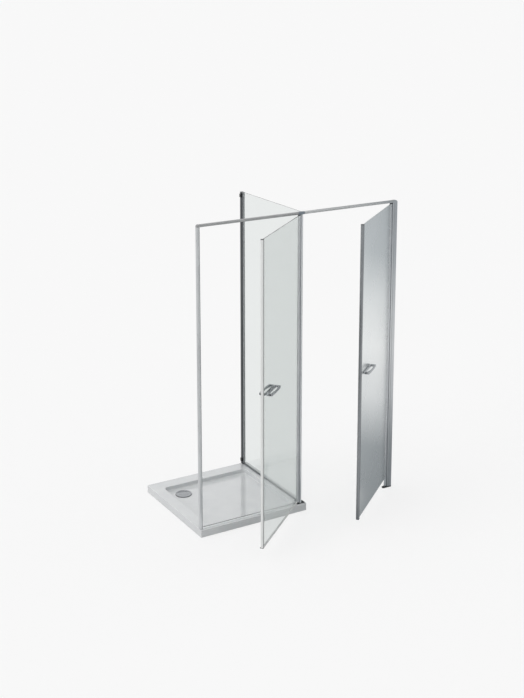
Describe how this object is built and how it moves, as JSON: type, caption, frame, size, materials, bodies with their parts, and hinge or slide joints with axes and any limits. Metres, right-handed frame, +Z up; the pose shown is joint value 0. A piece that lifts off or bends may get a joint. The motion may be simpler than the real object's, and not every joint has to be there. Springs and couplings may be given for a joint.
{
  "type": "shower enclosure",
  "caption": "Niche shower enclosure: clear pivot door over a low tray, glass divider, and a storage bay with a mirror pivot door under one slim top rail.",
  "frame": {"origin": "on the floor, on the tray's underside, straight below the middle plane of the frame at the middle post", "axes": "+X from left to right along the front, +Y to the back wall, +Z up"},
  "size_m": [1.51, 1.2483, 2.05],
  "materials": {
    "glazed_tray": "white glaze, glossy",
    "bright_aluminium": "anodised, satin silver",
    "blue_grey_metal": "cast, satin blue grey",
    "dark_aluminium": "anodised, dark grey",
    "clear_glass": "clear, polished",
    "mirror_glass": "silvered mirror glass",
    "white_backing": "white safety backing",
    "clear_seal": "translucent, satin",
    "grey_gasket": "grey, matte",
    "dark_plastic": "moulded, dark grey",
    "chrome": "polished chrome",
    "steel": "stainless steel"
  },
  "bodies": {
    "frame": {"shower_tray": "glazed_tray", "left_wall_profile": "bright_aluminium", "left_inner_profile": "bright_aluminium", "left_corner_cap": "bright_aluminium", "left_top_rail": "bright_aluminium", "right_top_rail": "bright_aluminium", "middle_post": "bright_aluminium", "threshold_rail": "bright_aluminium", "right_wall_profile": "bright_aluminium", "right_inner_profile": "bright_aluminium", "right_corner_cap": "bright_aluminium", "top_connector": "blue_grey_metal", "back_wall_profile": "dark_aluminium", "divider_bottom_channel": "dark_aluminium", "divider_glass": "clear_glass", "left_magnetic_strip": "grey_gasket", "mirror_door_strike_strip": "grey_gasket", "divider_front_gasket": "grey_gasket", "divider_bottom_gasket": "grey_gasket", "back_profile_gaskets": "grey_gasket", "waste_seal": "grey_gasket", "middle_post_foot": "dark_plastic", "right_profile_foot": "dark_plastic", "back_profile_clips": "dark_plastic", "waste_cover": "chrome", "waste_flange": "chrome", "left_profile_screws": "steel", "right_profile_screws": "steel", "rail_grub_screws": "steel", "shower_door_hinge_pins": "steel", "mirror_door_hinge_pins": "steel", "waste_strainer": "steel"},
    "shower_door": {"shower_door_glass": "clear_glass", "shower_door_hinge_profile": "bright_aluminium", "shower_door_hinge_gasket": "grey_gasket", "shower_door_top_bush": "dark_plastic", "shower_door_bottom_bush": "dark_plastic", "shower_door_magnetic_seal": "clear_seal", "shower_door_seal_caps": "dark_plastic", "shower_door_drip_seal": "clear_seal", "shower_door_outer_handle": "chrome", "shower_door_inner_handle": "chrome", "shower_door_handle_pads": "grey_gasket", "shower_door_handle_studs": "steel"},
    "mirror_door": {"mirror_door_glass": "mirror_glass", "mirror_door_backing": "white_backing", "mirror_door_edge_profile": "dark_aluminium", "mirror_door_edge_caps": "dark_plastic", "mirror_door_hinge_profile": "bright_aluminium", "mirror_door_hinge_gasket": "grey_gasket", "mirror_door_top_bush": "dark_plastic", "mirror_door_bottom_bush": "dark_plastic", "mirror_door_handle": "chrome", "mirror_door_handle_pads": "grey_gasket", "mirror_door_handle_screws": "steel", "mirror_door_screw_covers": "dark_plastic"}
  },
  "joints": [
    {"name": "shower_door_hinge", "type": "hinge", "parent": "frame", "child": "shower_door", "pos_m": [-0.012, 0, 1.05], "axis": [0, 0, 1], "range_deg": [-40, 50]},
    {"name": "mirror_door_hinge", "type": "hinge", "parent": "frame", "child": "mirror_door", "pos_m": [0.71, 0, 1.05], "axis": [0, 0, 1], "range_deg": [-39, 46]}
  ]
}
